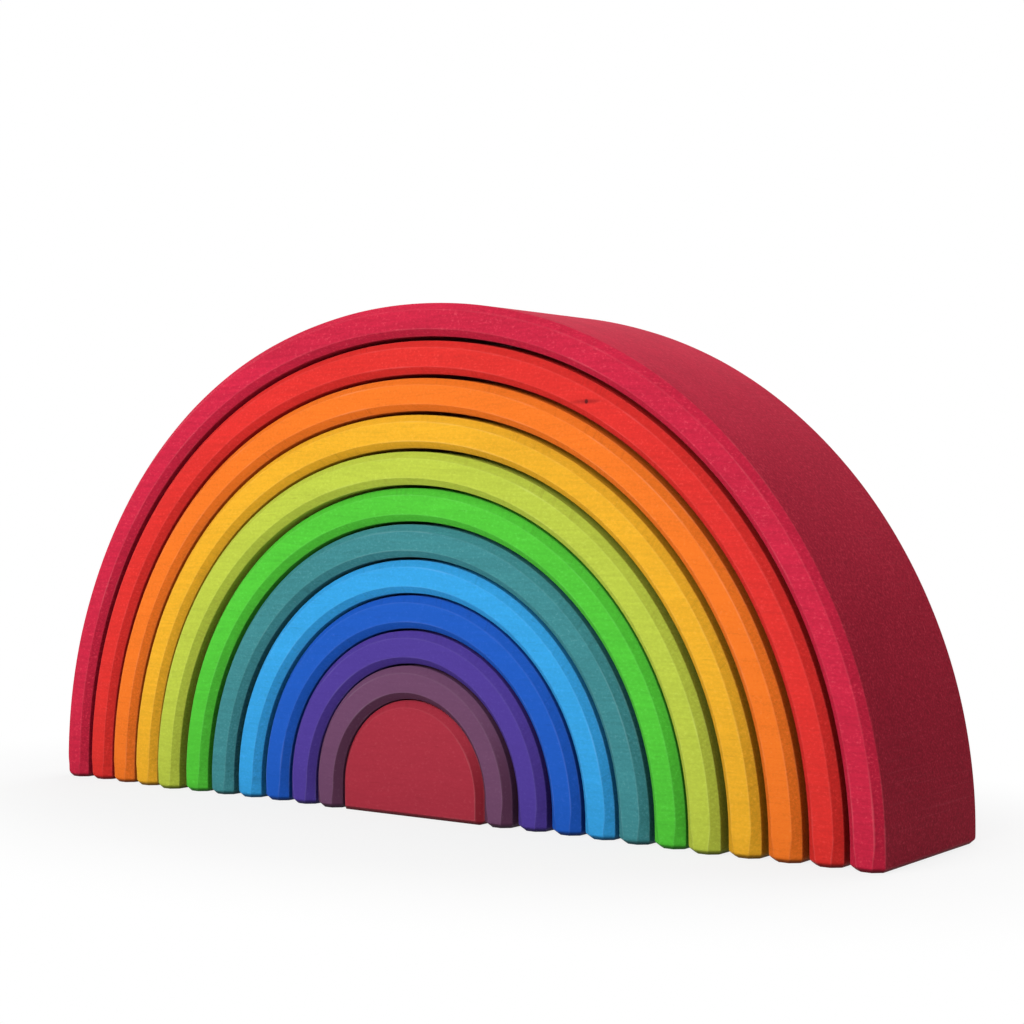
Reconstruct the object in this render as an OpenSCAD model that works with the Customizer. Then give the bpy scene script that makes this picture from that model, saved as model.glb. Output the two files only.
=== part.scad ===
// Rainbow stacker: a nest of wooden arches that stand one inside the other
// round a solid half-round core. All pieces are sawn from one block and share
// its depth, and every long edge and every foot is bevelled.
// X runs from foot to foot, Y from front to back and Z up, with the origin on
// the floor under the middle of the core.

/* [Block] */
// Depth of every piece, from front to back
depth = 70; // [40:1:120]
// Least height of the straight feet that the curves stand on
foot = 5; // [3:0.5:14]

/* [Core] */
// Width of the solid core
core_w = 65; // [50:1:90]
// Height of the solid core
core_h = 41.5; // [32:0.5:56]
// Saw gap between the core and the legs of the first arch
core_gap = 0.5; // [0.3:0.1:3.5]

/* [Arches] */
// Wall of every arch, the same all the way round
wall = 12; // [9:0.5:18]
// Saw gap between the legs of neighbouring arches
side_gap = 2; // [1:0.1:3.5]
// Saw gap between the crowns of the core and the first arch
crown_gap = 0.4; // [0.3:0.1:3]
// How much wider each crown gap is than the one inside it
crown_gap_growth = 0.09; // [0:0.01:0.2]

/* [Edges] */
// Bevel along the front and back edges of every piece
edge_bevel = 2.5; // [0.5:0.1:4]
// Bevel round the bottom of every foot
foot_bevel = 1.5; // [0.4:0.1:2.5]

/* [Hidden] */
$fn = 240;

// How far each piece stands forward in the nest, from the core outwards
forward = [-0.2, 0.5, -0.3, -0.7, -0.2, 0.4, 0.6, 2.4, 1.0, 0.3, -0.3, 0];

// How far a cutting wedge runs past the edge that it bevels
cut_over = 1;

// Lengths over the crown are kept to whole steps of this size
crown_step = 0.01;

// Half width and height of piece number k, where the core is 0
function half_w(k) =
    let (first = core_w / 2 + core_gap + wall)
    k == 0 ? core_w / 2 : first + (k - 1) * (wall + side_gap);
function height(k) = core_h + k * (wall + crown_gap) + crown_gap_growth * k * (k - 1) / 2;

// Each side is a quarter turn on a straight foot. A piece that is wider than
// it is tall has a straight stretch over the crown as well, half of it a side
function crown_half(k) =
    let (spare = half_w(k) + foot - height(k))
    max(0, round(spare / crown_step) * crown_step);
function turn_r(k) = half_w(k) - crown_half(k);
function foot_h(k) = height(k) - turn_r(k);

// Section across a bar of the given width, with x measured from one side
module bar_section(width) {
    half_d = depth / 2;
    polygon([
        [edge_bevel, -half_d],
        [width - edge_bevel, -half_d],
        [width, -half_d + edge_bevel],
        [width, half_d - edge_bevel],
        [width - edge_bevel, half_d],
        [edge_bevel, half_d],
        [0, half_d - edge_bevel],
        [0, -half_d + edge_bevel]
    ]);
}

// Section of solid wood from a centre line out to the given radius
module solid_section(radius) {
    half_d = depth / 2;
    polygon([
        [0, -half_d],
        [radius - edge_bevel, -half_d],
        [radius, -half_d + edge_bevel],
        [radius, half_d - edge_bevel],
        [radius - edge_bevel, half_d],
        [0, half_d]
    ]);
}

// Sweeps the section given as a child round the turn of piece k and on to the
// middle of its crown, on both sides
module over_crown(k) {
    for (side = [0, 1]) {
        mirror([side, 0, 0])
            translate([crown_half(k), 0, foot_h(k)]) {
                rotate([90, 0, 0])
                    rotate_extrude(angle = 90)
                        children();
                if (crown_half(k) > 0) {
                    rotate([0, -90, 0])
                        linear_extrude(crown_half(k))
                            children();
                }
            }
    }
}

// Wedges that bevel the bottom of a foot of the given width on its four sides
module foot_bevel_cuts(width) {
    half_size = [width / 2, depth / 2];
    for (side = [0 : 3]) {
        rotate([0, 0, 90 * side])
            translate([half_size[side % 2], 0, 0])
                rotate([90, 0, 0])
                    linear_extrude(depth + width, center = true)
                        polygon([
                            [-foot_bevel - cut_over, -cut_over],
                            [cut_over, -cut_over],
                            [cut_over, foot_bevel + cut_over]
                        ]);
    }
}

// A straight foot of piece k, of the given width, round its own middle
module straight_foot(k, width) {
    difference() {
        linear_extrude(foot_h(k))
            translate([-width / 2, 0])
                bar_section(width);
        foot_bevel_cuts(width);
    }
}

// Arch number k, counted outwards from the core
module arch(k) {
    translate([0, -forward[k], 0]) {
        for (side = [-1, 1]) {
            translate([side * (half_w(k) - wall / 2), 0, 0])
                straight_foot(k, wall);
        }
        over_crown(k)
            translate([turn_r(k) - wall, 0])
                bar_section(wall);
    }
}

// The solid core, with the same curve as the arches
module core() {
    translate([0, -forward[0], 0]) {
        straight_foot(0, core_w);
        over_crown(0)
            solid_section(turn_r(0));
    }
}

module core_block() {
    color("#a8303e") core();
}

module plum_arch() {
    color("#74426a") arch(1);
}

module purple_arch() {
    color("#5438a0") arch(2);
}

module blue_arch() {
    color("#1d60cc") arch(3);
}

module sky_arch() {
    color("#38a3e9") arch(4);
}

module teal_arch() {
    color("#418e94") arch(5);
}

module green_arch() {
    color("#4fcd34") arch(6);
}

module lime_arch() {
    color("#bcd648") arch(7);
}

module yellow_arch() {
    color("#f7b529") arch(8);
}

module orange_arch() {
    color("#ff7e24") arch(9);
}

module red_arch() {
    color("#e8322d") arch(10);
}

module crimson_arch() {
    color("#d62442") arch(11);
}

core_block();
plum_arch();
purple_arch();
blue_arch();
sky_arch();
teal_arch();
green_arch();
lime_arch();
yellow_arch();
orange_arch();
red_arch();
crimson_arch();
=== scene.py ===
"""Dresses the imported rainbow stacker: a nest of stained wooden arches round a solid core.

Every arch is swept by one Geometry Nodes tree, from the sizes of the CAD node that it stands for. The core
is a bevelled block with the same outline. All pieces share the node groups for wood figure, tool marks and
worn edges.
"""
import logging
import math
from dataclasses import dataclass, field
from enum import Enum

import bmesh
import bpy
import numpy as np
from mathutils import Matrix, Vector


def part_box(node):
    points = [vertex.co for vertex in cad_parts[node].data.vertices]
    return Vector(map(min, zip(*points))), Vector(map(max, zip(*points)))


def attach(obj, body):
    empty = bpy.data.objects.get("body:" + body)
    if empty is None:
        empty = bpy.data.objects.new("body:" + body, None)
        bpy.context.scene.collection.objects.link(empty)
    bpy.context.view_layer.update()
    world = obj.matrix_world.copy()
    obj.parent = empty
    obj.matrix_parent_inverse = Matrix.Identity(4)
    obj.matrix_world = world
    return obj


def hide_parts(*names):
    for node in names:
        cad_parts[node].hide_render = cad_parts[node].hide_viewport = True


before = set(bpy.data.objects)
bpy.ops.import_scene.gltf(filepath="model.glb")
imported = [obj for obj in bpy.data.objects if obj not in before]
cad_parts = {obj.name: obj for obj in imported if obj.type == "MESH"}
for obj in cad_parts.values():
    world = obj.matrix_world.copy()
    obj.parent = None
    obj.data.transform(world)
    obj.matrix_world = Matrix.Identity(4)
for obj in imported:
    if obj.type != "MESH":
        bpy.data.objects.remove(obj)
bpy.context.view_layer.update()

LOG = logging.getLogger("rainbow_stacker")
MM = 0.001
Two = tuple[float, float]
Three = tuple[float, float, float]
Screen = tuple[int, int, int]
Socket = bpy.types.NodeSocket
FLOAT = "NodeSocketFloat"

# The CAD's wall, depth, least height of the straight feet, and bevels of its edges and feet
WALL = 12 * MM
DEPTH = 70 * MM
FOOT = 5 * MM
EDGE_BEVEL = 2.5 * MM
FOOT_BEVEL = 1.5 * MM

# Radius to which handling has rubbed the edges
ARRIS = 0.55 * MM

# Rings set close together at each foot of an arch, and how high they reach, in foot bevels
FOOT_RINGS = 20
FOOT_RINGS_REACH = 1.7

# How softly a foot's bevel meets its sides, and how high the drawn-in toe reaches
FOOT_SOFTNESS = 0.35 * MM
TOE_REACH = 9 * MM

# Waves to the metre on the sanded faces, and the heights at which they begin and are full
WAVES = 22.0
WAVES_BEGIN = 3 * MM
WAVES_FULL = 14 * MM


def from_screen(colour: Screen) -> Three:
    """Turns a screen colour into the linear values that shaders use.

    Args:
        colour: Its red, green and blue, from 0 to 255.

    Returns:
        The same colour in linear values.
    """
    shares = (value / 255 for value in colour)
    return tuple(((share + 0.055) / 1.055) ** 2.4 if share > 0.04045 else share / 12.92 for share in shares)


def grey(value: float) -> tuple[float, float, float, float]:
    """A grey as the four numbers of a colour socket."""
    return (value, value, value, 1.0)


class Figure(Enum):
    """How plainly the wood shows through the stain."""

    EVEN = 0.5
    PLAIN = 0.8
    LIVELY = 1.2


@dataclass(frozen=True)
class Stain:
    """The finish of one piece: a matt water stain on sanded wood.

    Attributes:
        slot: Name of the record's material slot.
        colour: Screen colour of the stain on the front face.
        figure: How plainly the grain shows.
        seed: Shifts the pattern, so that no two pieces share it.
        saw: Strength of the saw's marks on the curved sides.
        wear: Strength of the pale worn edges.
        painted_bevel_shade: Strength of the painted shade on the bevels that face sideways or down.
    """

    slot: str
    colour: Screen
    figure: Figure = Figure.PLAIN
    seed: float = 0.0
    saw: float = 0.6
    wear: float = 0.4
    painted_bevel_shade: float = 0.0


@dataclass(frozen=True)
class Knot:
    """A pin knot in the plank, seen as a dark dot in a short streak.

    Attributes:
        centre: Its x and z on the piece, in metres.
        radius: Radius of the dark dot, in metres.
        streak: Length of the streak to either side, in metres.
        colour: Screen colour of the dot.
        dot_core: Share of the dot's radius that is fully dark.
        streak_core: Share of the streak that is at its darkest.
        streak_shade: How dark the streak is there.
        fade: The y on the piece at which it begins to fade and ends.
    """

    centre: Two
    radius: float = 1.1 * MM
    streak: float = 9 * MM
    colour: Screen = (96, 20, 22)
    dot_core: float = 0.4
    streak_core: float = 0.1
    streak_shade: float = 0.45
    fade: Two = (-25 * MM, -10 * MM)


@dataclass(frozen=True)
class Layer:
    """One layer of the wood's figure or of a tool's marks, drawn as a noise.

    Attributes:
        scale: Features to the metre along the three axes.
        detail: Number of finer layers in it.
        shift: Added to the piece's seed.
        roughness: How strong the finer layers are.
        shade: How strongly it shades the stain.
        low: Noise at which its marks begin.
        high: Noise at which they are full.
    """

    scale: Three
    detail: float
    shift: float = 0.0
    roughness: float = 0.5
    shade: float = 0.0
    low: float = 0.0
    high: float = 1.0


@dataclass(frozen=True)
class Patches:
    """Where a mark comes and goes.

    Attributes:
        scale: Patches to the metre.
        detail: Number of finer layers in them.
        low: Noise at which a patch begins.
        high: Noise at which the mark is full.
        shift: Added to the piece's seed.
        faint: Strength of the mark outside its patches.
    """

    scale: float
    detail: float
    low: float
    high: float
    shift: float = 0.0
    faint: float = 0.0


# Wood, along X, Y and Z, with the fibres along X
FIBRES = Layer((55.0, 1000.0, 1000.0), 3.0, roughness=0.6, shade=0.36)
BANDS = Layer((5.0, 90.0, 120.0), 3.0, shift=3.7, shade=0.20)
CLOUDS = Layer((16.0, 30.0, 30.0), 3.0, shift=8.1, shade=0.22)
PORES = Layer((900.0, 1300.0, 1300.0), 2.0, roughness=0.7, shade=0.42, low=0.56, high=0.72)
FLECKS = Layer((120.0, 1300.0, 1300.0), 1.0, shift=5.3, low=0.66, high=0.76)
END_GRAIN_SHADE = 0.8
FIBRE_HEIGHT = 0.6
PORE_HEIGHT = 0.4

# Bends of the grain to the metre, and how far they go along Y and Z
GRAIN_BENDS = 14.0
GRAIN_BEND_REACH = (6 * MM, 12 * MM)

# How squarely a face looks along X where end grain begins and is full
END_GRAIN_FACING = (0.45, 0.98)

# How squarely it looks along Y where sides end and bevels begin and end, and up where the painted bevel shade
# ends
SIDE_ENDS = (0.15, 0.5)
BEVEL_BEGINS = (0.4, 0.65)
BEVEL_ENDS = (0.78, 0.97)
PAINTED_SHADE_ENDS = (0.1, 0.5)

# Tool marks, along the arch, through its depth and across its wall
SAW_STROKES = Layer((1500.0, 14.0, 0.0), 3.0, roughness=0.6, low=0.52, high=0.68)
SANDER_HATCH = Layer((750.0, 90.0, 90.0), 2.0, shift=6.6, roughness=0.6, low=0.50, high=0.70)
SANDER_SLANT = 0.35

# Where the marks and the wear show
SAWN_PATCHES = Patches(28.0, 2.0, 0.42, 0.62, shift=1.9)
SCUFFED_PATCHES = Patches(30.0, 1.0, 0.35, 0.6)
WORN_PATCHES = Patches(22.0, 2.0, 0.5, 0.66, shift=2.2, faint=0.3)

# Notches to the metre in a worn edge, their reach, and how far in it begins to fade and ends
WORN_NOTCHES = 130.0
WORN_NOTCH_REACH = 0.9 * MM
WORN_WIDTH = (0.05 * MM, 0.5 * MM)


@dataclass(frozen=True)
class WoodLook:
    """How strongly the shared layers show in every stain.

    Attributes:
        end_grain: Share of deep stain in the end grain.
        fleck: Share of deep stain in the flecks.
        hatch: Share of deep stain in the sander's hatch.
        saw_line: Share of pale stain in the saw's lines.
        speck: Share of pale stain in the specks, at full figure.
        deep: What deep stain and the painted bevel shade keep of the stain's red, green and blue.
        pale_gain: What pale stain multiplies the stain by.
        pale_lift: What pale stain adds to it.
        painted_foot_shadow: Strength of the painted contact shadow low on each piece, next to the floor.
        foot_shadow_tone: What the painted contact shadow keeps of the stain.
        foot_shadow_low: Height up to which the painted contact shadow is full.
        foot_shadow_high: Height at which the painted contact shadow ends.
        bounce_loss: Share of the light lost when it bounces from piece to piece.
        rough: Roughness of wood without shade.
        rough_fall: How much an even shade takes off it.
        gloss: Strength of the gloss.
        bump: Strength of the grain's and the marks' bump.
        bump_height: Height of that bump.
    """

    end_grain: float = 0.45
    fleck: float = 0.22
    hatch: float = 0.26
    saw_line: float = 0.26
    speck: float = 0.25
    deep: Three = (0.60, 0.50, 0.52)
    pale_gain: float = 1.05
    pale_lift: float = 0.10
    painted_foot_shadow: float = 0.8
    foot_shadow_tone: float = 0.08
    foot_shadow_low: float = 0.5 * MM
    foot_shadow_high: float = 1.7 * MM
    bounce_loss: float = 0.65
    rough: float = 0.80
    rough_fall: float = 0.10
    gloss: float = 0.14
    bump: float = 0.35
    bump_height: float = 0.25 * MM


class NodeKit:
    """Short calls for building one node tree."""

    def __init__(self, tree: bpy.types.NodeTree) -> None:
        """Takes the tree that the calls add to."""
        self.tree = tree

    def add(self, kind: str, **settings: object) -> bpy.types.Node:
        """Adds a node and sets its properties.

        Args:
            kind: Blender's identifier of the node type.
            **settings: Properties of the node and their values.

        Returns:
            The new node.
        """
        node = self.tree.nodes.new(kind)
        for name, value in settings.items():
            setattr(node, name, value)
        return node

    def feed(self, socket: Socket, value: object) -> None:
        """Links a socket, or sets its value when the value is plain."""
        if isinstance(value, Socket):
            self.tree.links.new(value, socket)
        else:
            socket.default_value = value

    def wired(self, kind: str, inputs: dict[object, object], **settings: object) -> bpy.types.Node:
        """Adds a node and feeds its inputs.

        Args:
            kind: Blender's identifier of the node type.
            inputs: What each named or numbered input gets, a socket or a plain value.
            **settings: Properties of the node and their values.

        Returns:
            The new node.
        """
        node = self.add(kind, **settings)
        for title, value in inputs.items():
            self.feed(node.inputs[title], value)
        return node

    def math(self, operation: str, *values: object) -> Socket:
        """Adds a Math node.

        Args:
            operation: Blender's name of the operation.
            *values: Its one to three inputs, each a socket or a number.

        Returns:
            The result's socket.
        """
        return self.wired("ShaderNodeMath", dict(enumerate(values)), operation=operation).outputs[0]

    def times(self, first: object, second: object) -> Socket:
        """Multiplies two numbers."""
        return self.math("MULTIPLY", first, second)

    def plus(self, first: object, second: object) -> Socket:
        """Adds two numbers."""
        return self.math("ADD", first, second)

    def minus(self, first: object, second: object) -> Socket:
        """Takes the second number from the first."""
        return self.math("SUBTRACT", first, second)

    def vector(self, operation: str, *values: object) -> Socket:
        """Adds a Vector Math node.

        Args:
            operation: Blender's name of the operation.
            *values: Its inputs, each a socket or three numbers.

        Returns:
            The result's socket.
        """
        node = self.wired("ShaderNodeVectorMath", dict(enumerate(values)), operation=operation)
        return node.outputs["Value" if operation in {"LENGTH", "DISTANCE"} else "Vector"]

    def combine(self, x: object, y: object, z: object) -> Socket:
        """Joins three numbers or sockets into a vector's socket."""
        return self.wired("ShaderNodeCombineXYZ", {"X": x, "Y": y, "Z": z}).outputs[0]

    def separate(self, value: Socket) -> tuple[Socket, ...]:
        """Parts a vector's socket into the sockets of its x, y and z."""
        return tuple(self.wired("ShaderNodeSeparateXYZ", {0: value}).outputs)

    def ramp(
        self, value: object, low: object, high: object, start: object = 0.0, end: object = 1.0
    ) -> Socket:
        """Maps a value smoothly from one range to another and clamps it.

        Args:
            value: The value's socket.
            low: Where the rise begins.
            high: Where the rise ends.
            start: Result at and below low.
            end: Result at and above high.

        Returns:
            The result's socket.
        """
        inputs = {"Value": value, "From Min": low, "From Max": high, "To Min": start, "To Max": end}
        return self.wired("ShaderNodeMapRange", inputs, interpolation_type="SMOOTHSTEP").outputs[0]

    def noise(
        self, at: object, scale: float, detail: float, seed: object, roughness: float = 0.5
    ) -> Socket:
        """Adds a seeded noise.

        Args:
            at: Socket of the position to read it at.
            scale: Features to the unit of that position.
            detail: Number of finer layers.
            seed: Number or socket that picks the noise.
            roughness: How strong the finer layers are.

        Returns:
            The noise's socket, about 0.5 on average.
        """
        inputs = {"Vector": at, "W": seed, "Scale": scale, "Detail": detail, "Roughness": roughness}
        return self.wired("ShaderNodeTexNoise", inputs, noise_dimensions="4D").outputs[0]

    def layer(self, at: object, layer: Layer, seed: object) -> Socket:
        """Draws one layer of figure or marks.

        Args:
            at: Socket of the position to read it at.
            layer: The layer's scale and detail.
            seed: Socket of the piece's seed.

        Returns:
            The layer's socket, about 0.5 on average.
        """
        stretched = self.vector("MULTIPLY", at, layer.scale)
        shifted = self.plus(seed, layer.shift)
        return self.noise(stretched, 1.0, layer.detail, shifted, layer.roughness)

    def patches(self, at: object, patches: Patches, seed: object) -> Socket:
        """Draws the patches in which a mark shows.

        Args:
            at: Socket of the position to read them at.
            patches: Their scale and strength.
            seed: Socket of the piece's seed.

        Returns:
            The strength's socket.
        """
        cover = self.noise(at, patches.scale, patches.detail, self.plus(seed, patches.shift))
        return self.ramp(cover, patches.low, patches.high, patches.faint, 1.0)

    def swing(self, noise: object, amount: object) -> Socket:
        """Turns a noise about 0.5 into a swing about 0 of that strength."""
        return self.times(self.minus(noise, 0.5), amount)

    def mix(self, factor: object, first: object, second: object, blend: str = "MIX") -> Socket:
        """Mixes two colours.

        Args:
            factor: Share of the second colour, a socket or a number.
            first: First colour, a socket or four numbers.
            second: Second colour, a socket or four numbers.
            blend: Blender's name of the way to mix.

        Returns:
            The mixed colour's socket.
        """
        node = self.wired("ShaderNodeMix", {"Factor": factor}, data_type="RGBA", blend_type=blend)
        colours = [s for s in node.inputs if s.type == "RGBA"]
        self.feed(colours[0], first)
        self.feed(colours[1], second)
        return next(s for s in node.outputs if s.type == "RGBA")


class NodeGroup:
    """One node group with named sockets, built once and placed in many trees."""

    def __init__(
        self, name: str, kind: str, inputs: dict[str, tuple[str, object]], outputs: dict[str, str]
    ) -> None:
        """Makes the empty group.

        Args:
            name: Name of the group.
            kind: Blender's type of the tree.
            inputs: Socket type and default value of each input.
            outputs: Socket type of each output.
        """
        self.tree = bpy.data.node_groups.new(name, kind)
        self.kit = NodeKit(self.tree)
        for title, (socket, value) in inputs.items():
            item = self.tree.interface.new_socket(title, in_out="INPUT", socket_type=socket)
            if value is not None:
                item.default_value = value
        for title, socket in outputs.items():
            self.tree.interface.new_socket(title, in_out="OUTPUT", socket_type=socket)
        self.source = self.kit.add("NodeGroupInput")
        self.sink = self.kit.add("NodeGroupOutput")

    def get(self, title: str) -> Socket:
        """The socket that brings in the input of that name."""
        return self.source.outputs[title]

    def give(self, title: str, value: Socket) -> None:
        """Sends a socket out as the output of that name."""
        self.kit.feed(self.sink.inputs[title], value)

    def identifier(self, title: str) -> str:
        """The identifier under which a modifier stores the input of that name."""
        return next(
            item.identifier
            for item in self.tree.interface.items_tree
            if item.name == title and getattr(item, "in_out", "") == "INPUT"
        )


def wood_figure_group() -> NodeGroup:
    """Builds the shared figure of the wood: fibres along X, flecks, and end grain on what faces along X.

    Returns:
        The group, with a shade to multiply the stain by, masks of dark flecks, pale specks and end grain, and
        a height.
    """
    group = NodeGroup(
        "WoodFigure",
        "ShaderNodeTree",
        {"Seed": (FLOAT, 0.0), "Contrast": (FLOAT, 1.0)},
        {title: FLOAT for title in ("Shade", "Fleck", "Speck", "End", "Height")},
    )
    kit, seed, contrast = group.kit, group.get("Seed"), group.get("Contrast")
    place = kit.add("ShaderNodeTexCoord")
    at, facing = place.outputs["Object"], place.outputs["Normal"]
    end = kit.ramp(kit.math("ABSOLUTE", kit.separate(facing)[0]), *END_GRAIN_FACING)
    warp = kit.noise(at, GRAIN_BENDS, 2.0, seed)
    bend = kit.combine(0.0, *(kit.times(warp, reach) for reach in GRAIN_BEND_REACH))
    bent = kit.vector("ADD", at, bend)
    fibre, band = kit.layer(bent, FIBRES, seed), kit.layer(bent, BANDS, seed)
    cloud, pores = kit.layer(at, CLOUDS, seed), kit.layer(at, PORES, seed)
    long_grain = kit.plus(kit.swing(fibre, FIBRES.shade), kit.swing(band, BANDS.shade))
    end_grain = kit.swing(pores, END_GRAIN_SHADE)
    figure = kit.plus(kit.times(long_grain, kit.minus(1.0, end)), kit.times(end_grain, end))
    figure = kit.plus(figure, kit.swing(cloud, CLOUDS.shade))
    figure = kit.plus(figure, kit.swing(pores, PORES.shade))
    group.give("Shade", kit.math("MULTIPLY_ADD", figure, contrast, 1.0))
    group.give("Fleck", kit.ramp(kit.layer(at, FLECKS, seed), FLECKS.low, FLECKS.high))
    group.give("Speck", kit.ramp(pores, PORES.low, PORES.high))
    group.give("End", end)
    group.give("Height", kit.plus(kit.times(fibre, FIBRE_HEIGHT), kit.times(pores, PORE_HEIGHT)))
    return group


def marks_and_shade_group() -> NodeGroup:
    """Builds the shared marks of the saw on the curved sides and of the sander on the bevels, and the painted
    bevel shade.

    Returns:
        The group, with masks of the saw's pale lines, the sander's dark hatch and the painted bevel shade,
        and a height.
    """
    group = NodeGroup(
        "ToolMarksAndShade",
        "ShaderNodeTree",
        {"Seed": (FLOAT, 0.0), "Saw": (FLOAT, 0.6)},
        {title: FLOAT for title in ("Lines", "Hatch", "Painted Shade", "Height")},
    )
    kit, seed = group.kit, group.get("Seed")
    place = kit.add("ShaderNodeTexCoord")
    _, facing_back, facing_up = kit.separate(place.outputs["Normal"])
    away = kit.math("ABSOLUTE", facing_back)
    path = kit.add("ShaderNodeAttribute", attribute_type="GEOMETRY", attribute_name="path")
    on_path = path.outputs["Vector"]
    along, deep, across = kit.separate(on_path)
    sawn = kit.layer(on_path, SAW_STROKES, seed)
    lines = kit.ramp(sawn, SAW_STROKES.low, SAW_STROKES.high)
    lines = kit.times(lines, kit.patches(on_path, SAWN_PATCHES, seed))
    slant = kit.math("MULTIPLY_ADD", kit.plus(deep, across), SANDER_SLANT, along)
    hatch = kit.layer(kit.combine(slant, deep, across), SANDER_HATCH, seed)
    scuffs = kit.ramp(hatch, SANDER_HATCH.low, SANDER_HATCH.high)
    scuffs = kit.times(scuffs, kit.patches(on_path, SCUFFED_PATCHES, seed))
    side = kit.ramp(away, *SIDE_ENDS, 1.0, 0.0)
    bevel = kit.times(kit.ramp(away, *BEVEL_BEGINS), kit.ramp(away, *BEVEL_ENDS, 1.0, 0.0))
    # Painted shade: bevels that face sideways or down are darkened as if lit from above
    turned_down = kit.ramp(facing_up, *PAINTED_SHADE_ENDS, 1.0, 0.0)
    group.give("Lines", kit.times(kit.times(lines, side), group.get("Saw")))
    group.give("Hatch", kit.times(scuffs, bevel))
    group.give("Painted Shade", kit.times(bevel, turned_down))
    group.give("Height", kit.math("MULTIPLY_ADD", sawn, side, kit.times(hatch, bevel)))
    return group


def worn_edge_group() -> NodeGroup:
    """Builds the shared mask of the edges where handling has rubbed the stain pale.

    Returns:
        The group, with the mask.
    """
    group = NodeGroup(
        "WornEdges",
        "ShaderNodeTree",
        {
            "Seed": (FLOAT, 0.0),
            "Half Depth": (FLOAT, DEPTH / 2),
            "Half Wall": (FLOAT, WALL / 2),
            "Bevel": (FLOAT, EDGE_BEVEL),
        },
        {"Worn": FLOAT},
    )
    kit = group.kit
    path = kit.add("ShaderNodeAttribute", attribute_type="GEOMETRY", attribute_name="path")
    _, deep, across = kit.separate(path.outputs["Vector"])
    deep, across = kit.math("ABSOLUTE", deep), kit.math("ABSOLUTE", across)
    half_depth, half_wall, bevel = group.get("Half Depth"), group.get("Half Wall"), group.get("Bevel")
    here = kit.combine(deep, across, 0.0)
    face_edge = kit.combine(half_depth, kit.minus(half_wall, bevel), 0.0)
    side_edge = kit.combine(kit.minus(half_depth, bevel), half_wall, 0.0)
    to_face_edge, to_side_edge = (kit.vector("DISTANCE", here, edge) for edge in (face_edge, side_edge))
    nearest = kit.math("MINIMUM", to_face_edge, to_side_edge)
    rub = kit.noise(path.outputs["Vector"], WORN_NOTCHES, 3.0, group.get("Seed"))
    reach = kit.plus(nearest, kit.swing(rub, -WORN_NOTCH_REACH))
    rubbed = kit.ramp(reach, *WORN_WIDTH, 1.0, 0.0)
    patches = kit.patches(path.outputs["Vector"], WORN_PATCHES, group.get("Seed"))
    group.give("Worn", kit.times(rubbed, patches))
    return group


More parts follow.
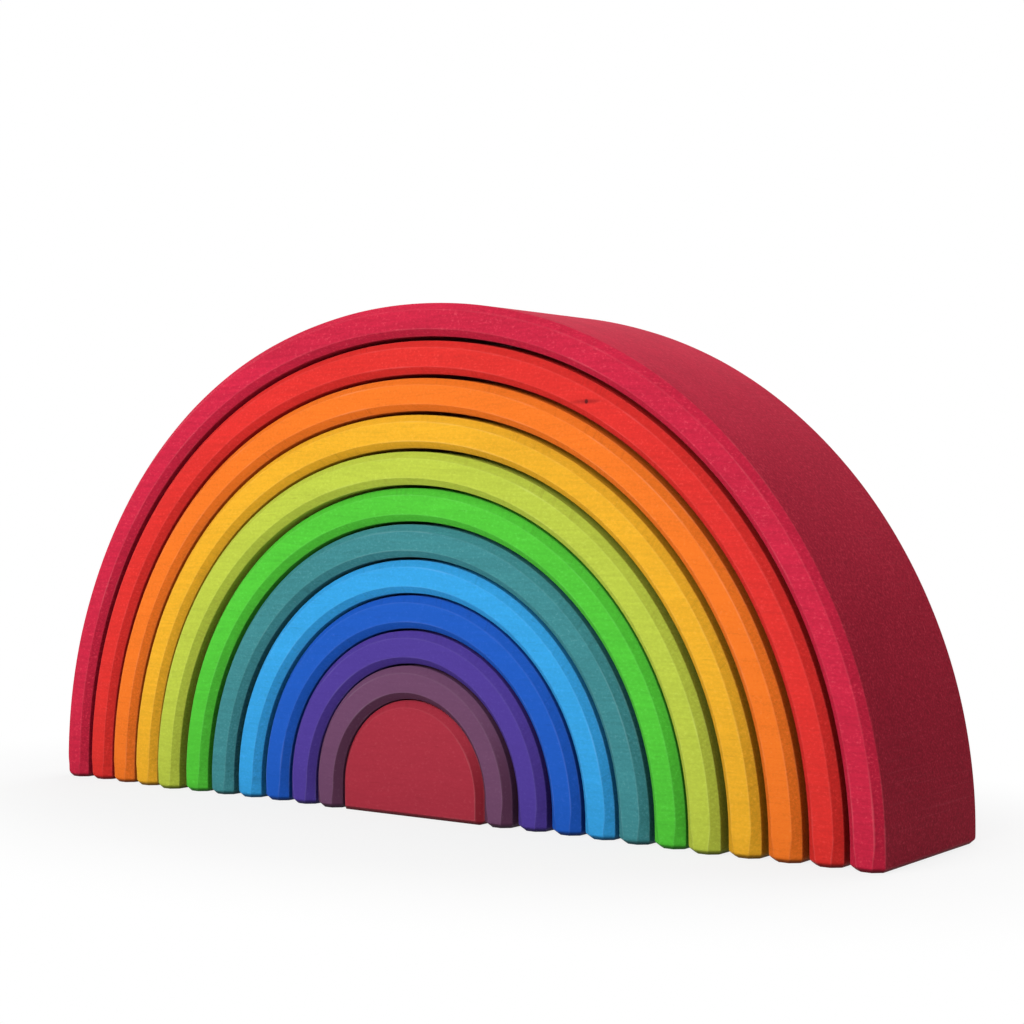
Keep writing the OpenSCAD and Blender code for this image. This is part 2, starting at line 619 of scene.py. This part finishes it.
class WoodShop:
    """Makes the stained wood of each piece from the shared groups."""

    def __init__(self) -> None:
        """Builds the shared groups."""
        self.look = WoodLook()
        self.figure = wood_figure_group()
        self.marks = marks_and_shade_group()
        self.edges = worn_edge_group()

    def stained(self, stain: Stain, knot: Knot | None = None) -> bpy.types.Material:
        """Makes the material of one piece.

        Args:
            stain: The piece's finish.
            knot: A pin knot in this piece, if it has one.

        Returns:
            The material.
        """
        material = bpy.data.materials.new(stain.slot)
        material.use_nodes = True
        kit = NodeKit(material.node_tree)
        shader = material.node_tree.nodes["Principled BSDF"]
        look, base = self.look, from_screen(stain.colour)
        groups = (
            (self.figure, {"Contrast": stain.figure.value}),
            (self.marks, {"Saw": stain.saw}),
            (self.edges, {}),
        )
        figure, marks, edges = (
            kit.wired("ShaderNodeGroup", {"Seed": stain.seed, **own}, node_tree=group.tree).outputs
            for group, own in groups
        )
        deep = (*(c * kept for c, kept in zip(base, look.deep)), 1.0)
        pale = (*(min(1.0, c * look.pale_gain + look.pale_lift) for c in base), 1.0)
        foot_shadow_tone = (*(c * look.foot_shadow_tone for c in base), 1.0)
        colour = kit.mix(kit.times(figure["End"], look.end_grain), (*base, 1.0), deep)
        colour = kit.mix(1.0, colour, kit.combine(*[figure["Shade"]] * 3), "MULTIPLY")
        for mask, strength, tint in (
            (figure["Fleck"], look.fleck, deep),
            (marks["Lines"], look.saw_line, pale),
            (marks["Hatch"], look.hatch, deep),
            # painted shade, in the deep tint, on the bevels that face sideways or down
            (marks["Painted Shade"], stain.painted_bevel_shade, deep),
            (figure["Speck"], look.speck * stain.figure.value, pale),
            (edges["Worn"], stain.wear, pale),
        ):
            colour = kit.mix(kit.times(mask, strength), colour, tint)
        if knot is not None:
            colour = self._knotted(kit, colour, knot)
        # Painted contact shadow: the colour darkens in the lowest millimetres, next to the floor
        height = kit.separate(kit.add("ShaderNodeTexCoord").outputs["Object"])[2]
        painted_foot_shadow = kit.ramp(height, look.foot_shadow_low, look.foot_shadow_high, look.painted_foot_shadow, 0.0)
        colour = kit.mix(painted_foot_shadow, colour, foot_shadow_tone)
        bounced = kit.add("ShaderNodeLightPath").outputs["Is Diffuse Ray"]
        colour = kit.mix(kit.times(bounced, look.bounce_loss), colour, grey(0.0))
        kit.feed(shader.inputs["Base Color"], colour)
        rough = kit.math("MULTIPLY_ADD", figure["Shade"], -look.rough_fall, look.rough)
        kit.feed(shader.inputs["Roughness"], rough)
        shader.inputs["Specular IOR Level"].default_value = look.gloss
        relief = kit.times(kit.plus(figure["Height"], marks["Height"]), 0.5)
        bump = kit.wired(
            "ShaderNodeBump", {"Strength": look.bump, "Distance": look.bump_height, "Height": relief}
        )
        kit.feed(shader.inputs["Normal"], bump.outputs[0])
        return material

    @staticmethod
    def _knotted(kit: NodeKit, colour: Socket, knot: Knot) -> Socket:
        """Lays a pin knot over the colour.

        Args:
            kit: The material's node calls.
            colour: The colour so far.
            knot: The knot's place and size.

        Returns:
            The colour with the knot in it.
        """
        x, y, z = kit.separate(kit.add("ShaderNodeTexCoord").outputs["Object"])
        dx, dz = kit.minus(x, knot.centre[0]), kit.minus(z, knot.centre[1])
        long_dx = kit.times(dx, knot.radius / knot.streak)
        from_dot, from_streak = (kit.vector("LENGTH", kit.combine(run, dz, 0.0)) for run in (dx, long_dx))
        dot = kit.ramp(from_dot, knot.dot_core * knot.radius, knot.radius, 1.0, 0.0)
        streak = kit.ramp(from_streak, knot.streak_core * knot.radius, knot.radius, knot.streak_shade, 0.0)
        dark = (*from_screen(knot.colour), 1.0)
        front = kit.ramp(y, *knot.fade, 1.0, 0.0)
        return kit.mix(kit.times(kit.math("MAXIMUM", dot, streak), front), colour, dark)


@dataclass(frozen=True)
class Outline:
    """The outer curve of a piece: quarter turns on straight feet, with a straight stretch over the crown.

    Attributes:
        half_width: Half of the piece's width.
        height: The piece's height.
        foot: Least height of the straight feet.
    """

    half_width: float
    height: float
    foot: float

    @property
    def turn(self) -> float:
        """Radius of the quarter turns."""
        return min(self.half_width, self.height - self.foot)

    @property
    def crown(self) -> float:
        """Half length of the straight stretch over the crown."""
        return self.half_width - self.turn

    @property
    def leg(self) -> float:
        """Height of the straight feet."""
        return self.height - self.turn


def arch_sweep_group() -> NodeGroup:
    """Builds the Geometry Nodes tree that sweeps a bevelled section along an arch.

    Returns:
        The tree, with one named input for each size.
    """
    sizes = (
        "Crown", "Turn", "Leg", "Ease", "Wall", "Depth", "Edge Bevel",
        "Foot Bevel", "Arris", "Relief", "Toe", "Middle", "Waviness", "Seed",
    )
    inputs: dict[str, tuple[str, object]] = {title: (FLOAT, 0.0) for title in sizes}
    inputs["Rings"] = ("NodeSocketInt", 301)
    inputs["Material"] = ("NodeSocketMaterial", None)
    group = NodeGroup("ArchSweep", "GeometryNodeTree", inputs, {"Geometry": "NodeSocketGeometry"})
    kit = group.kit
    crown, turn, leg, ease, wall, depth, edge_bevel = map(group.get, sizes[:7])
    foot_bevel, arris, relief, toe, middle, waviness, seed = map(group.get, sizes[7:])
    rings = group.get("Rings")

    half_wall = kit.times(wall, 0.5)
    ease_sin, ease_cos = kit.math("SINE", ease), kit.math("COSINE", ease)
    step = kit.math("DIVIDE", crown, kit.minus(kit.plus(ease_sin, ease_cos), 1.0))
    top = kit.minus(turn, half_wall)
    shoulder = kit.minus(top, kit.times(step, kit.minus(1.0, ease_cos)))
    over = kit.plus(shoulder, step)
    over_run = kit.times(over, ease)
    bend = kit.times(shoulder, kit.minus(math.pi / 2, ease))
    to_leg = kit.plus(over_run, bend)
    reach = kit.plus(to_leg, leg)
    close = kit.times(foot_bevel, FOOT_RINGS_REACH)

    index = kit.add("GeometryNodeInputIndex").outputs[0]
    share = kit.math("DIVIDE", index, kit.minus(rings, 1.0))
    signed = kit.math("MULTIPLY_ADD", share, 2.0, -1.0)
    side, size = kit.math("SIGN", signed), kit.math("ABSOLUTE", signed)
    knee = kit.minus(1.0, kit.math("DIVIDE", float(FOOT_RINGS), rings))
    open_part = kit.math("MINIMUM", kit.math("DIVIDE", size, knee), 1.0)
    past_knee = kit.math("MAXIMUM", kit.minus(size, knee), 0.0)
    end_part = kit.math("DIVIDE", past_knee, kit.minus(1.0, knee))
    run = kit.plus(kit.times(kit.minus(reach, close), open_part), kit.times(close, end_part))
    tilt = kit.math("DIVIDE", kit.math("MINIMUM", run, over_run), over)
    past = kit.math("MINIMUM", kit.math("MAXIMUM", kit.minus(run, over_run), 0.0), bend)
    angle = kit.plus(ease, kit.math("DIVIDE", past, shoulder))
    drop = kit.math("MAXIMUM", kit.minus(run, to_leg), 0.0)
    out = kit.times(shoulder, kit.minus(kit.math("SINE", angle), ease_sin))
    x = kit.times(side, kit.math("MULTIPLY_ADD", over, kit.math("SINE", tilt), out))
    fall = kit.times(shoulder, kit.minus(ease_cos, kit.math("COSINE", angle)))
    fall = kit.math("MULTIPLY_ADD", over, kit.minus(1.0, kit.math("COSINE", tilt)), fall)
    z = kit.minus(kit.plus(leg, top), kit.plus(fall, drop))
    along = kit.times(side, run)
    centre = kit.combine(x, middle, z)

    line = kit.add("GeometryNodeCurvePrimitiveLine")
    points = kit.wired("GeometryNodeResampleCurve", {"Curve": line.outputs[0], "Count": rings}, mode="COUNT")
    hold = kit.wired("GeometryNodeCaptureAttribute", {"Geometry": points.outputs[0]}, domain="POINT")
    hold.capture_items.new("FLOAT", "Along")
    hold.capture_items.new("VECTOR", "Centre")
    kit.feed(hold.inputs["Along"], along)
    kit.feed(hold.inputs["Centre"], centre)
    placed = kit.wired(
        "GeometryNodeSetPosition", {"Geometry": hold.outputs["Geometry"], "Position": hold.outputs["Centre"]}
    )
    upright = kit.wired(
        "GeometryNodeSetCurveNormal", {"Curve": placed.outputs[0], "Normal": (0.0, 1.0, 0.0)}, mode="FREE"
    )

    shaped = kit.wired(
        "GeometryNodeCurvePrimitiveQuadrilateral", {"Width": depth, "Height": wall}, mode="RECTANGLE"
    ).outputs[0]
    for radius, steps in ((edge_bevel, 1), (arris, 3)):
        fillet = {"Curve": shaped, "Radius": radius, "Count": steps}
        shaped = kit.wired("GeometryNodeFilletCurve", fillet, mode="POLY").outputs[0]
    mark = kit.wired("GeometryNodeCaptureAttribute", {"Geometry": shaped}, domain="POINT")
    mark.capture_items.new("VECTOR", "Section")
    kit.feed(mark.inputs["Section"], kit.add("GeometryNodeInputPosition").outputs[0])
    sweep = {"Curve": upright.outputs[0], "Profile Curve": mark.outputs["Geometry"], "Fill Caps": True}
    body = kit.wired("GeometryNodeCurveToMesh", sweep)

    here = kit.add("GeometryNodeInputPosition").outputs[0]
    held = hold.outputs["Centre"]
    height = kit.separate(held)[2]
    lack = kit.minus(foot_bevel, height)
    soft = kit.math("SQRT", kit.math("MULTIPLY_ADD", lack, lack, FOOT_SOFTNESS**2))
    inset = kit.times(kit.plus(lack, soft), 0.5)
    half_depth = kit.times(depth, 0.5)
    deep, across, _ = kit.separate(mark.outputs["Section"])
    at_face = kit.ramp(kit.math("ABSOLUTE", deep), kit.minus(half_depth, edge_bevel), half_depth)
    at_foot = kit.ramp(height, foot_bevel, TOE_REACH, 1.0, 0.0)
    narrow = kit.math("MULTIPLY_ADD", kit.times(at_face, at_foot), toe, inset)
    shrink_x = kit.minus(1.0, kit.math("DIVIDE", narrow, half_wall))
    shrink_y = kit.minus(1.0, kit.math("DIVIDE", inset, half_depth))
    shrink_z = kit.minus(1.0, kit.math("DIVIDE", relief, half_wall))
    shrink = kit.combine(shrink_x, shrink_y, shrink_z)
    trimmed = kit.vector("ADD", held, kit.vector("MULTIPLY", kit.vector("SUBTRACT", here, held), shrink))
    footed = kit.wired("GeometryNodeSetPosition", {"Geometry": body.outputs[0], "Position": trimmed})

    wave = kit.swing(kit.noise(here, WAVES, 1.0, seed), waviness)
    push = kit.times(wave, kit.ramp(height, WAVES_BEGIN, WAVES_FULL))
    normal = kit.add("GeometryNodeInputNormal").outputs[0]
    offset = kit.vector("MULTIPLY", normal, kit.combine(push, push, push))
    sanded = kit.wired("GeometryNodeSetPosition", {"Geometry": footed.outputs[0], "Offset": offset})

    place = kit.combine(hold.outputs["Along"], deep, across)
    path = {"Geometry": sanded.outputs[0], "Name": "path", "Value": place}
    stored = kit.wired("GeometryNodeStoreNamedAttribute", path, data_type="FLOAT_VECTOR", domain="POINT")
    smooth = kit.wired("GeometryNodeSetShadeSmooth", {"Geometry": stored.outputs[0]})
    real = kit.wired("GeometryNodeRealizeInstances", {"Geometry": smooth.outputs[0]})
    paint = {"Geometry": real.outputs[0], "Material": group.get("Material")}
    group.give("Geometry", kit.wired("GeometryNodeSetMaterial", paint).outputs[0])
    return group


def evaluated_mesh(source: bpy.types.Object) -> bpy.types.Mesh:
    """Makes a mesh of what an object's modifiers make.

    Args:
        source: The object to evaluate.

    Returns:
        The new mesh.
    """
    graph = bpy.context.evaluated_depsgraph_get()
    shaped = source.evaluated_get(graph)
    return bpy.data.meshes.new_from_object(shaped, preserve_all_data_layers=True, depsgraph=graph)


def finished_object(name: str, source: bpy.types.Object) -> bpy.types.Object:
    """Turns what an object's modifiers make into a plain piece with even shading.

    Args:
        name: Name of the new piece.
        source: The object to evaluate, which is removed.

    Returns:
        The piece, at the origin and linked to the scene.
    """
    shading = source.modifiers.new("EvenShading", "WEIGHTED_NORMAL")
    shading.mode = "FACE_AREA"
    shading.weight = 90
    shading.keep_sharp = True
    mesh = evaluated_mesh(source)
    bpy.data.objects.remove(source)
    mesh.name = name
    piece = bpy.data.objects.new(name, mesh)
    bpy.context.scene.collection.objects.link(piece)
    return piece


@dataclass
class Piece:
    """What every piece of the nest has.

    Attributes:
        node: CAD node that it stands for.
        body: CAD body that it rides on.
        stain: Its finish.
        low: Low corner of the CAD node's box.
        high: High corner of that box.
        outline: Its outer curve.
    """

    node: str
    body: str
    stain: Stain
    low: Vector = field(init=False)
    high: Vector = field(init=False)
    outline: Outline = field(init=False)

    def __post_init__(self) -> None:
        """Reads the outline's sizes from the CAD node."""
        self.low, self.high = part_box(self.node)
        self.outline = Outline((self.high.x - self.low.x) / 2, self.high.z, FOOT)

    @property
    def middle(self) -> float:
        """Middle of its depth."""
        return (self.low.y + self.high.y) / 2


@dataclass
class Arch(Piece):
    """One arch of the nest.

    Attributes:
        knot: A pin knot in it, if it has one.
        relief: How much sanding takes off either side of its crown.
        toe: How far its front and back faces draw in at the bottom of its feet.
        waviness: How far its sanded faces stray.
        ease: Angle over which its crown eases into its turns, in radians.
        ring_step: Distance between the rings of its mesh.
    """

    knot: Knot | None = None
    relief: float = 0.1 * MM
    toe: float = 1.3 * MM
    waviness: float = 0.3 * MM
    ease: float = math.radians(18)
    ring_step: float = 1.8 * MM

    def build(self, sweep: NodeGroup, material: bpy.types.Material) -> bpy.types.Object:
        """Sweeps the arch and puts it in the CAD node's place.

        Args:
            sweep: The shared sweep.
            material: The arch's stained wood.

        Returns:
            The finished piece.
        """
        name = f"{self.body}_arch_wood"
        draft = bpy.data.objects.new(f"{name}_draft", bpy.data.meshes.new(f"{name}_draft"))
        bpy.context.scene.collection.objects.link(draft)
        length = 2 * (self.outline.crown + self.outline.turn * math.pi / 2 + self.outline.leg)
        modifier = draft.modifiers.new("Sweep", "NODES")
        modifier.node_group = sweep.tree
        values = {
            "Crown": self.outline.crown,
            "Turn": self.outline.turn,
            "Leg": self.outline.leg,
            "Ease": self.ease,
            "Wall": WALL,
            "Depth": self.high.y - self.low.y,
            "Edge Bevel": EDGE_BEVEL,
            "Foot Bevel": FOOT_BEVEL,
            "Arris": ARRIS,
            "Relief": self.relief,
            "Toe": self.toe,
            "Middle": self.middle,
            "Waviness": self.waviness,
            "Seed": self.stain.seed,
            "Rings": 2 * round(length / self.ring_step / 2) + 2 * FOOT_RINGS + 1,
            "Material": material,
        }
        for title, value in values.items():
            modifier[sweep.identifier(title)] = value
        piece = finished_object(name, draft)
        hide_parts(self.node)
        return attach(piece, self.body)


@dataclass
class Core(Piece):
    """The solid half-round core.

    Attributes:
        turn_points: Points round the curve, from foot to foot.
    """

    turn_points: int = 121

    def _prism(self) -> bpy.types.Mesh:
        """Makes the sharp-edged block, with the share of the bevel that each edge gets.

        Returns:
            The block's mesh.
        """
        shape = self.outline
        curve = [(shape.half_width, 0.0)]
        for angle in np.linspace(0.0, math.pi, self.turn_points):
            across, up = math.cos(angle), math.sin(angle)
            x = shape.turn * across + math.copysign(shape.crown, across)
            curve.append((x, shape.leg + shape.turn * up))
        curve.append((-shape.half_width, 0.0))
        count = len(curve)
        points = [(x, y, z) for y in (self.low.y, self.high.y) for x, z in curve]
        faces = [list(range(count)), list(range(2 * count - 1, count - 1, -1))]
        faces += [[(i + 1) % count, i, i + count, (i + 1) % count + count] for i in range(count)]
        mesh = bpy.data.meshes.new("core_prism")
        mesh.from_pydata(points, [], faces)
        weights = []
        for edge in mesh.edges:
            first, second = (Vector(points[i]) for i in edge.vertices)
            on_floor = max(first.z, second.z) < MM
            on_face = abs(first.y - second.y) < MM
            weights.append(FOOT_BEVEL / EDGE_BEVEL if on_floor else float(on_face))
        mesh.attributes.new("bevel_weight_edge", "FLOAT", "EDGE").data.foreach_set("value", weights)
        return mesh

    def _mark_path(self, mesh: bpy.types.Mesh) -> None:
        """Splits the end faces and stores where each point lies on the block, as the arches do.

        Args:
            mesh: The bevelled block.
        """
        block = bmesh.new()
        block.from_mesh(mesh)
        ends = sorted(block.faces, key=lambda face: face.calc_area())[-3:]
        ends = [face for face in ends if abs(face.normal.y) > 0.9]
        bmesh.ops.inset_individual(block, faces=ends, thickness=EDGE_BEVEL)
        block.to_mesh(mesh)
        block.free()
        shape = self.outline
        places = np.empty(len(mesh.vertices) * 3, np.float32)
        mesh.vertices.foreach_get("co", places)
        x, y, z = places.reshape(-1, 3).T
        rise = np.maximum(z - shape.leg, 0.0)
        draw = shape.turn - np.hypot(np.maximum(np.abs(x) - shape.crown, 0.0), rise)
        along = np.arctan2(x, rise + 1e-6) * shape.turn
        path = np.stack([along, y - self.middle, np.maximum(WALL / 2 - draw, 0.0)], 1).astype(np.float32)
        mesh.attributes.new("path", "FLOAT_VECTOR", "POINT").data.foreach_set("vector", path.ravel())

    def build(self, material: bpy.types.Material) -> bpy.types.Object:
        """Shapes the core and puts it in the CAD node's place.

        Args:
            material: The core's stained wood.

        Returns:
            The finished piece.
        """
        draft = bpy.data.objects.new("core_draft", self._prism())
        bpy.context.scene.collection.objects.link(draft)
        bevel = draft.modifiers.new("Bevel", "BEVEL")
        bevel.limit_method, bevel.width, bevel.segments = "WEIGHT", EDGE_BEVEL, 1
        arris = draft.modifiers.new("Arris", "BEVEL")
        arris.limit_method, arris.angle_limit = "ANGLE", math.radians(25)
        arris.width, arris.segments = ARRIS * math.tan(math.pi / 8), 3
        mesh = evaluated_mesh(draft)
        self._mark_path(mesh)
        draft.modifiers.clear()
        draft.data = mesh
        mesh.materials.clear()
        mesh.materials.append(material)
        mesh.shade_smooth()
        piece = finished_object(f"{self.body}_block_wood", draft)
        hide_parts(self.node)
        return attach(piece, self.body)


@dataclass(frozen=True)
class Lamp:
    """One soft lamp.

    Attributes:
        name: Name of the lamp.
        place: Where it hangs, seen from what it lights.
        size: Side of its square face.
        power: Power in watts.
        gloss: Whether it shows in gloss.
    """

    name: str
    place: Three
    size: float
    power: float
    gloss: bool = True


LAMPS = (
    Lamp("key", (-0.12, -1.15, 0.95), 1.0, 8.6),
    Lamp("fill", (0.08, -1.5, 0.25), 1.0, 11.1),
    Lamp("top", (0.05, 0.4, 1.5), 0.8, 7.6, gloss=False),
    Lamp("rear", (-0.1, 1.7, 0.4), 1.0, 13.0, gloss=False),
)


@dataclass
class Studio:
    """The pale floor, the soft light and the camera.

    Attributes:
        lens: Focal length on a 36 mm sensor, in millimetres.
        target: Point in the middle of the picture.
        yaw: Degrees that the camera stands to the right of straight ahead.
        pitch: Degrees that it looks down.
        roll: Degrees that it is tilted.
        distance: Distance from the target.
        lit_point: Point that the lamps light.
        room_light: Strength of the even light.
        floor_reach: Half of the floor's side.
        floor_drop: How far it lies under the feet.
        floor_grey: The floor as the camera sees it.
        floor_return: The floor as the pieces see it.
        front_return: The same in front of the nest.
        front_ends: Where that front begins to end and ends, as y.
        front_side_ends: The same on its right, as x.
        white_least: Share of white in the floor at the object.
        white_begins: Distances at which it begins to rise and is full.
        white_squash: How many times further a distance along Y counts.
    """

    lens: float = 68.993
    target: Three = (20.45 * MM, 0.0, 108.39 * MM)
    yaw: float = 37.092
    pitch: float = 0.327
    roll: float = -0.244
    distance: float = 712.9 * MM
    lit_point: Three = (0.0, 0.0, 0.08)
    room_light: float = 0.12
    floor_reach: float = 6.0
    floor_drop: float = 0.02 * MM
    floor_grey: float = 0.9
    floor_return: float = 0.42
    front_return: float = 0.86
    front_ends: Two = (-0.12, -0.03)
    front_side_ends: Two = (0.1, 0.24)
    white_least: float = 0.82
    white_begins: Two = (0.16, 0.32)
    white_squash: float = 1.6

    def camera(self) -> None:
        """Sets up the camera at the photograph's viewing angle."""
        yaw, pitch, roll = (math.radians(v) for v in (self.yaw, self.pitch, self.roll))
        back = Vector((math.sin(yaw) * math.cos(pitch), -math.cos(yaw) * math.cos(pitch), math.sin(pitch)))
        right = Vector((math.cos(yaw), math.sin(yaw), 0.0))
        up = back.cross(right)
        right, up = math.cos(roll) * right + math.sin(roll) * up, math.cos(roll) * up - math.sin(roll) * right
        data = bpy.data.cameras.new("camera")
        data.lens, data.sensor_width = self.lens, 36.0
        data.clip_start, data.clip_end = 0.02, 60.0
        camera = bpy.data.objects.new("camera", data)
        turned = Matrix((right, up, back)).transposed().to_4x4()
        camera.matrix_world = Matrix.Translation(Vector(self.target) + back * self.distance) @ turned
        bpy.context.scene.collection.objects.link(camera)
        bpy.context.scene.camera = camera

    def hang(self, lamp: Lamp) -> None:
        """Hangs one lamp and points it at the object.

        Args:
            lamp: The lamp to hang.
        """
        data = bpy.data.lights.new(lamp.name, "AREA")
        data.shape, data.size, data.energy = "SQUARE", lamp.size, lamp.power
        aim = Vector(self.lit_point)
        place = aim + Vector(lamp.place)
        hung = bpy.data.objects.new(lamp.name, data)
        hung.visible_glossy = lamp.gloss
        hung.location = place
        hung.rotation_euler = (aim - place).to_track_quat("-Z", "Y").to_euler()
        bpy.context.scene.collection.objects.link(hung)

    @staticmethod
    def backdrop(kit: NodeKit) -> Socket:
        """Marks what the camera sees directly, in gloss or through glass.

        Args:
            kit: Node calls of the tree to add to.

        Returns:
            The mark's socket.
        """
        ray = kit.add("ShaderNodeLightPath").outputs
        seen = kit.math("MAXIMUM", ray["Is Camera Ray"], ray["Is Glossy Ray"])
        return kit.math("MAXIMUM", seen, ray["Is Transmission Ray"])

    def world(self) -> None:
        """Gives the room a white backdrop and a low even light."""
        world = bpy.data.worlds.new("room")
        world.use_nodes = True
        bpy.context.scene.world = world
        kit = NodeKit(world.node_tree)
        shade = world.node_tree.nodes["Background"]
        shade.inputs["Color"].default_value = (1.0, 1.0, 1.0, 1.0)
        kit.feed(shade.inputs["Strength"], kit.ramp(self.backdrop(kit), 0.0, 1.0, self.room_light, 1.0))

    def floor(self) -> None:
        """Lays the pale floor, which fades to white away from the object."""
        mesh = bpy.data.meshes.new("floor")
        reach = self.floor_reach
        corners = [(-reach, -reach, 0), (reach, -reach, 0), (reach, reach, 0), (-reach, reach, 0)]
        mesh.from_pydata(corners, [], [(0, 1, 2, 3)])
        floor = bpy.data.objects.new("floor", mesh)
        floor.location.z = -self.floor_drop
        material = bpy.data.materials.new("pale_floor")
        material.use_nodes = True
        tree = material.node_tree
        kit = NodeKit(tree)
        matt = kit.add("ShaderNodeBsdfDiffuse")
        bounced = kit.add("ShaderNodeLightPath").outputs["Is Diffuse Ray"]
        x, y, _ = kit.separate(kit.add("ShaderNodeTexCoord").outputs["Object"])
        ends = ((y, self.front_ends), (x, self.front_side_ends))
        in_front = kit.times(*(kit.ramp(at, *end, 1.0, 0.0) for at, end in ends))
        given_back = kit.mix(in_front, grey(self.floor_return), grey(self.front_return))
        kit.feed(matt.inputs["Color"], kit.mix(bounced, grey(self.floor_grey), given_back))
        white = kit.add("ShaderNodeEmission")
        away = kit.vector("LENGTH", kit.combine(x, kit.times(y, self.white_squash), 0.0))
        whiteness = kit.ramp(away, *self.white_begins, self.white_least, 1.0)
        fade = kit.times(whiteness, self.backdrop(kit))
        blend = kit.wired("ShaderNodeMixShader", {0: fade, 1: matt.outputs[0], 2: white.outputs[0]})
        kit.feed(tree.nodes["Material Output"].inputs["Surface"], blend.outputs[0])
        mesh.materials.append(material)
        bpy.context.scene.collection.objects.link(floor)

    def build(self) -> None:
        """Sets up the whole studio."""
        bpy.context.scene.view_settings.view_transform = "Standard"
        self.camera()
        self.world()
        self.floor()
        for lamp in LAMPS:
            self.hang(lamp)


@dataclass
class RainbowStacker:
    """The whole nest, from the core outwards."""

    shop: WoodShop = field(default_factory=WoodShop)

    @staticmethod
    def core() -> Core:
        """The core with its finish."""
        stain = Stain("core_stain", (176, 48, 65), Figure.EVEN, seed=0.6, painted_bevel_shade=0.7)
        return Core("core_block", "core", stain)

    @staticmethod
    def arches() -> list[Arch]:
        """The arches with their finishes, from the core outwards."""
        stains = {
            "plum": Stain("plum_stain", (114, 72, 105), Figure.EVEN, seed=1.3, painted_bevel_shade=1.0),
            "purple": Stain("purple_stain", (82, 61, 158), Figure.EVEN, seed=2.1, painted_bevel_shade=0.2),
            "blue": Stain("blue_stain", (28, 94, 201), Figure.EVEN, seed=3.4),
            "sky": Stain("sky_stain", (55, 169, 237), seed=4.2),
            "teal": Stain("teal_stain", (65, 142, 148), Figure.LIVELY, seed=5.7),
            "green": Stain("green_stain", (86, 207, 58), seed=6.5),
            "lime": Stain("lime_stain", (195, 211, 72), seed=7.8, saw=1.0),
            "yellow": Stain("yellow_stain", (249, 183, 42), seed=8.4),
            "orange": Stain("orange_stain", (255, 126, 36), seed=9.9),
            "red": Stain("red_stain", (232, 50, 45), seed=10.3),
            "crimson": Stain("crimson_stain", (211, 36, 68), Figure.LIVELY, seed=11.2),
        }
        knots = {"red": Knot((77.75 * MM, 145.3 * MM))}
        return [Arch(f"{name}_arch", name, stain, knot=knots.get(name)) for name, stain in stains.items()]

    def build(self) -> None:
        """Builds every piece and reports it."""
        core = self.core()
        pieces = [core.build(self.shop.stained(core.stain))]
        sweep = arch_sweep_group()
        for arch in self.arches():
            pieces.append(arch.build(sweep, self.shop.stained(arch.stain, arch.knot)))
        for piece in pieces:
            LOG.info("%s: %d faces", piece.name, len(piece.data.polygons))


def main() -> None:
    """Builds the studio and the object."""
    logging.basicConfig(level=logging.INFO, format="%(name)s %(message)s")
    Studio().build()
    RainbowStacker().build()


if __name__ == "__main__":
    main()
